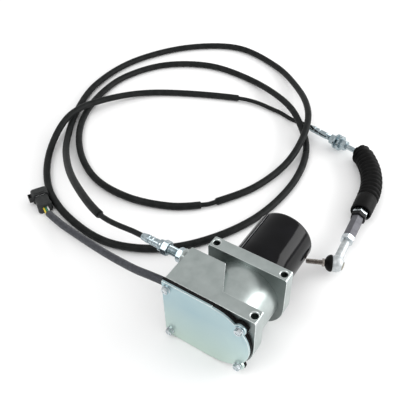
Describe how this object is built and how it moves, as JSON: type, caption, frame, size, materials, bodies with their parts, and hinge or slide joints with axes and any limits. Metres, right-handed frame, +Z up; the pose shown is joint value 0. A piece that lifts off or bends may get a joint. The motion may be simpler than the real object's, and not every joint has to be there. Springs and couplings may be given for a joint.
{
  "type": "engine governor actuator",
  "caption": "Geared electric governor actuator: cast gear housing with bolted cover, black motor can, looped push-pull cable with boot and ball stud, and a wired connector.",
  "frame": {"origin": "on the floor under the middle of the actuator, without its cable and harness", "axes": "+Y from the cover to the motor, +Z up, +X to the right seen from the cover"},
  "size_m": [0.4942, 0.5424, 0.085],
  "materials": {
    "housing_zinc": "satin passivated casting",
    "cover_zinc": "iridescent zinc plate",
    "zinc_hardware": "bright zinc plate",
    "gasket_black": "matt",
    "motor_black": "gloss paint",
    "ferrite": "matt sintered",
    "brush_board": "moulded",
    "carbon": "matt",
    "bronze": "sintered",
    "gear_steel": "oiled",
    "lamination": "matt",
    "copper": "enamelled",
    "sensor_black": "moulded",
    "sensor_white": "moulded",
    "cable_black": "satin",
    "sleeve_black": "satin",
    "boot_black": "matt",
    "black_steel": "black oxide",
    "link_grey": "turned",
    "harness_grey": "ribbed",
    "wire_colours": "insulated",
    "connector_black": "moulded"
  },
  "bodies": {
    "actuator": {"gear_housing": "housing_zinc", "cover_plate": "cover_zinc", "cover_gasket": "gasket_black", "cover_screws": "zinc_hardware", "cover_washers": "zinc_hardware", "motor_can": "motor_black", "motor_gasket": "gasket_black", "field_magnets": "ferrite", "brush_card": "brush_board", "carbon_brushes": "carbon", "front_motor_bush": "bronze", "rear_motor_bush": "bronze", "ring_gear": "gear_steel", "bearing_plate": "gear_steel", "plate_screws": "zinc_hardware", "carrier_bush": "bronze", "lever_bush": "bronze", "position_sensor": "sensor_black", "harness_grommet": "boot_black", "motor_end_fitting": "zinc_hardware", "motor_end_locknut": "zinc_hardware", "cable_conduit": "cable_black", "cable_sleeve_1": "sleeve_black", "cable_sleeve_2": "sleeve_black", "cable_sleeve_3": "sleeve_black", "engine_end_fitting": "zinc_hardware", "bulkhead_nuts": "zinc_hardware", "bulkhead_washers": "zinc_hardware", "bellows_boot": "boot_black", "boot_wire": "gear_steel", "harness_sleeve": "harness_grey", "lead_wires": "wire_colours", "connector_body": "connector_black", "connector_lock": "connector_black"},
    "armature": {"armature_shaft": "gear_steel", "armature_core": "lamination", "armature_windings": "copper", "commutator": "copper", "sun_gear": "gear_steel"},
    "carrier": {"planet_carrier": "gear_steel", "planet_pins": "gear_steel", "carrier_pinion": "gear_steel"},
    "planet_1": {"planet_gear_1": "gear_steel"},
    "planet_2": {"planet_gear_2": "gear_steel"},
    "planet_3": {"planet_gear_3": "gear_steel"},
    "lever": {"lever_shaft": "gear_steel", "lever_nut": "zinc_hardware", "sector_gear": "gear_steel", "fork_lever": "gear_steel", "sensor_rotor": "sensor_white"},
    "pull_wire": {"wire_terminal": "gear_steel", "inner_wire": "gear_steel"},
    "end_rod": {"boot_nut": "zinc_hardware", "black_nut": "black_steel", "hex_link": "link_grey", "rod_end_locknut": "zinc_hardware", "rod_end": "zinc_hardware"},
    "stud_swivel": {"dust_boot": "boot_black"},
    "stud": {"ball_stud": "zinc_hardware"}
  },
  "joints": [
    {"name": "armature_spin", "type": "hinge", "parent": "actuator", "child": "armature", "pos_m": [0.00825, 0, 0.0425], "axis": [0, 1, 0], "range_deg": [-480, 480]},
    {"name": "carrier_spin", "type": "hinge", "parent": "actuator", "child": "carrier", "pos_m": [0.00825, 0, 0.0425], "axis": [0, 1, 0], "range_deg": [-81, 81]},
    {"name": "planet_1_spin", "type": "hinge", "parent": "carrier", "child": "planet_1", "pos_m": [0.02445, -0.018, 0.0425], "axis": [0, 1, 0], "range_deg": [-201, 201]},
    {"name": "planet_2_spin", "type": "hinge", "parent": "carrier", "child": "planet_2", "pos_m": [0.00015, -0.018, 0.05653], "axis": [0, 1, 0], "range_deg": [-201, 201]},
    {"name": "planet_3_spin", "type": "hinge", "parent": "carrier", "child": "planet_3", "pos_m": [0.00015, -0.018, 0.02847], "axis": [0, 1, 0], "range_deg": [-201, 201]},
    {"name": "lever_swing", "type": "hinge", "parent": "actuator", "child": "lever", "pos_m": [-0.0255, 0, 0.0425], "axis": [0, 1, 0], "range_deg": [-20.2, 20.2]},
    {"name": "wire_slide", "type": "slide", "parent": "actuator", "child": "pull_wire", "axis": [1, 0, 0], "range_m": [-0.0116, 0.0116]},
    {"name": "rod_slide", "type": "slide", "parent": "actuator", "child": "end_rod", "axis": [0.0872, -0.9962, 0], "range_m": [-0.0116, 0.0116], "deforming": ["bellows_boot", "boot_wire"]},
    {"name": "stud_tilt", "type": "hinge", "parent": "end_rod", "child": "stud_swivel", "pos_m": [0.06515, 0.09629, 0.01406], "axis": [0, 0, 1], "range_deg": [-30, 5]},
    {"name": "stud_spin", "type": "hinge", "parent": "stud_swivel", "child": "stud", "pos_m": [0.06515, 0.09629, 0.01406], "axis": [-0.9063, -0.4226, 0], "continuous": true}
  ],
  "couplings": [
    {"joint": "carrier_spin", "follows": "armature_spin", "ratio": 0.16667},
    {"joint": "lever_swing", "follows": "armature_spin", "ratio": -0.041667},
    {"joint": "wire_slide", "follows": "armature_spin", "m_per_rad": -0.0013708},
    {"joint": "rod_slide", "follows": "armature_spin", "m_per_rad": 0.0013708},
    {"joint": "planet_1_spin", "follows": "armature_spin", "ratio": -0.41667},
    {"joint": "planet_2_spin", "follows": "armature_spin", "ratio": -0.41667},
    {"joint": "planet_3_spin", "follows": "armature_spin", "ratio": -0.41667}
  ]
}
